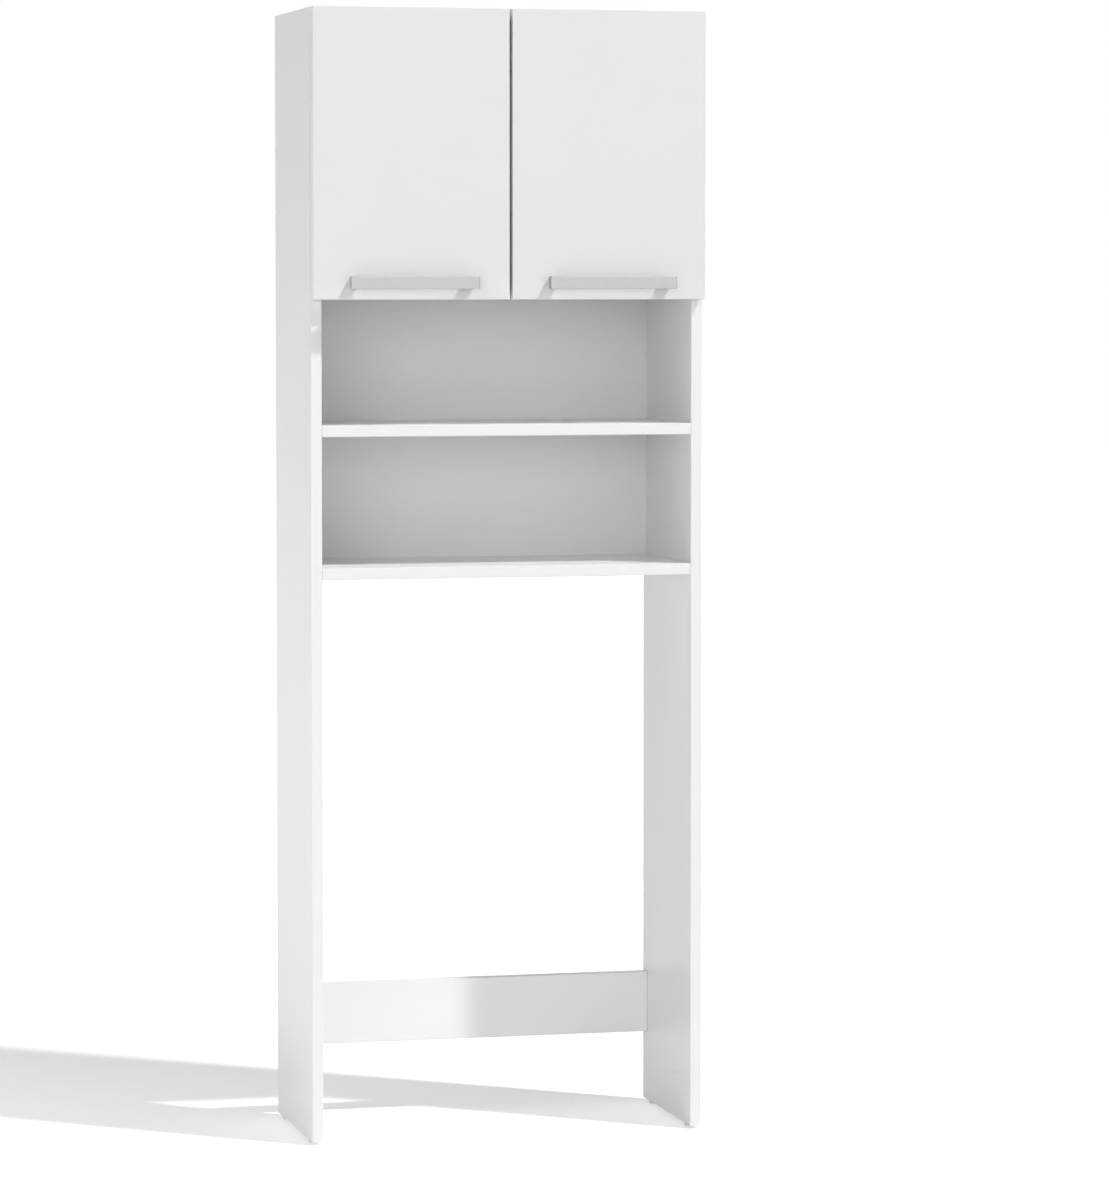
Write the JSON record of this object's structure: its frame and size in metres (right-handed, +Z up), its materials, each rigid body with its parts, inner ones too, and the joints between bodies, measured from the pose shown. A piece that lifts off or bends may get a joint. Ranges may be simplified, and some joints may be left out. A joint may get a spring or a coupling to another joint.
{
  "type": "washing machine cabinet",
  "caption": "Tall white over-washer cabinet: side panels round an open bay, two open niches, and a cupboard whose doors have bar handles and concealed hinges.",
  "frame": {"origin": "on the floor, under the middle of the whole cabinet's bounding box, handles and glides included", "axes": "+Z up; +X to the right of someone who faces the doors; the doors face -Y"},
  "size_m": [0.64, 0.3396, 1.8],
  "materials": {
    "white_laminate": "white melamine laminate on particle board, satin",
    "white_door_front": "smooth white laminate, slightly glossy",
    "white_hardboard": "thin white coated hardboard, matte",
    "satin_metal": "satin nickel plated",
    "plated_steel": "bright nickel plated",
    "zinc_casting": null,
    "white_plastic": "white moulded plastic",
    "soft_bumper": "soft translucent pad"
  },
  "bodies": {
    "carcass": {"left_side_panel": "white_laminate", "right_side_panel": "white_laminate", "top_panel": "white_laminate", "cupboard_floor": "white_laminate", "open_shelf": "white_laminate", "bay_shelf": "white_laminate", "rear_rail": "white_laminate", "inner_shelf": "white_laminate", "back_panel": "white_hardboard", "top_panel_left_cam": "zinc_casting", "top_panel_right_cam": "zinc_casting", "cupboard_floor_left_cam": "zinc_casting", "cupboard_floor_right_cam": "zinc_casting", "open_shelf_left_cam": "zinc_casting", "open_shelf_right_cam": "zinc_casting", "bay_shelf_left_cam": "zinc_casting", "bay_shelf_right_cam": "zinc_casting", "rear_rail_left_cam": "zinc_casting", "rear_rail_right_cam": "zinc_casting", "left_front_shelf_pin": "plated_steel", "left_rear_shelf_pin": "plated_steel", "right_front_shelf_pin": "plated_steel", "right_rear_shelf_pin": "plated_steel", "left_front_glide": "white_plastic", "left_rear_glide": "white_plastic", "right_front_glide": "white_plastic", "right_rear_glide": "white_plastic", "left_wall_angle": "plated_steel", "right_wall_angle": "plated_steel", "left_lower_hinge_arm": "plated_steel", "left_lower_hinge_plate": "plated_steel", "left_upper_hinge_arm": "plated_steel", "left_upper_hinge_plate": "plated_steel", "right_lower_hinge_arm": "plated_steel", "right_lower_hinge_plate": "plated_steel", "right_upper_hinge_arm": "plated_steel", "right_upper_hinge_plate": "plated_steel"},
    "left_outer_links": {"left_lower_hinge_outer_link": "plated_steel", "left_upper_hinge_outer_link": "plated_steel"},
    "left_inner_links": {"left_lower_hinge_inner_link": "plated_steel", "left_upper_hinge_inner_link": "plated_steel"},
    "left_door": {"left_door": "white_door_front", "left_handle": "satin_metal", "left_handle_left_screw": "plated_steel", "left_handle_right_screw": "plated_steel", "left_door_bumper": "soft_bumper", "left_lower_hinge_cup": "plated_steel", "left_upper_hinge_cup": "plated_steel"},
    "right_outer_links": {"right_lower_hinge_outer_link": "plated_steel", "right_upper_hinge_outer_link": "plated_steel"},
    "right_inner_links": {"right_lower_hinge_inner_link": "plated_steel", "right_upper_hinge_inner_link": "plated_steel"},
    "right_door": {"right_door": "white_door_front", "right_handle": "satin_metal", "right_handle_left_screw": "plated_steel", "right_handle_right_screw": "plated_steel", "right_door_bumper": "soft_bumper", "right_lower_hinge_cup": "plated_steel", "right_upper_hinge_cup": "plated_steel"}
  },
  "joints": [
    {"name": "left_outer_link_pivot", "type": "hinge", "parent": "carcass", "child": "left_outer_links", "pos_m": [-0.2916, -0.11325, 1.5705], "axis": [0, 0, -1], "range_deg": [-25.4, 0]},
    {"name": "left_door_hinge", "type": "hinge", "parent": "left_outer_links", "child": "left_door", "pos_m": [-0.3095, -0.12625, 1.5705], "axis": [0, 0, -1], "range_deg": [0, 120.4]},
    {"name": "left_inner_link_pivot", "type": "hinge", "parent": "carcass", "child": "left_inner_links", "pos_m": [-0.2857, -0.12575, 1.5705], "axis": [0, 0, -1], "range_deg": [-50.1, 0]},
    {"name": "right_outer_link_pivot", "type": "hinge", "parent": "carcass", "child": "right_outer_links", "pos_m": [0.2916, -0.11325, 1.5705], "axis": [0, 0, 1], "range_deg": [-25.4, 0]},
    {"name": "right_door_hinge", "type": "hinge", "parent": "right_outer_links", "child": "right_door", "pos_m": [0.3095, -0.12625, 1.5705], "axis": [0, 0, 1], "range_deg": [0, 120.4]},
    {"name": "right_inner_link_pivot", "type": "hinge", "parent": "carcass", "child": "right_inner_links", "pos_m": [0.2857, -0.12575, 1.5705], "axis": [0, 0, 1], "range_deg": [-50.1, 0]}
  ],
  "couplings": [
    {"joint": "left_outer_link_pivot", "follows": "left_door_hinge", "ratio": -0.21096},
    {"joint": "left_inner_link_pivot", "follows": "left_door_hinge", "ratio": -0.41611},
    {"joint": "right_outer_link_pivot", "follows": "right_door_hinge", "ratio": -0.21096},
    {"joint": "right_inner_link_pivot", "follows": "right_door_hinge", "ratio": -0.41611}
  ]
}
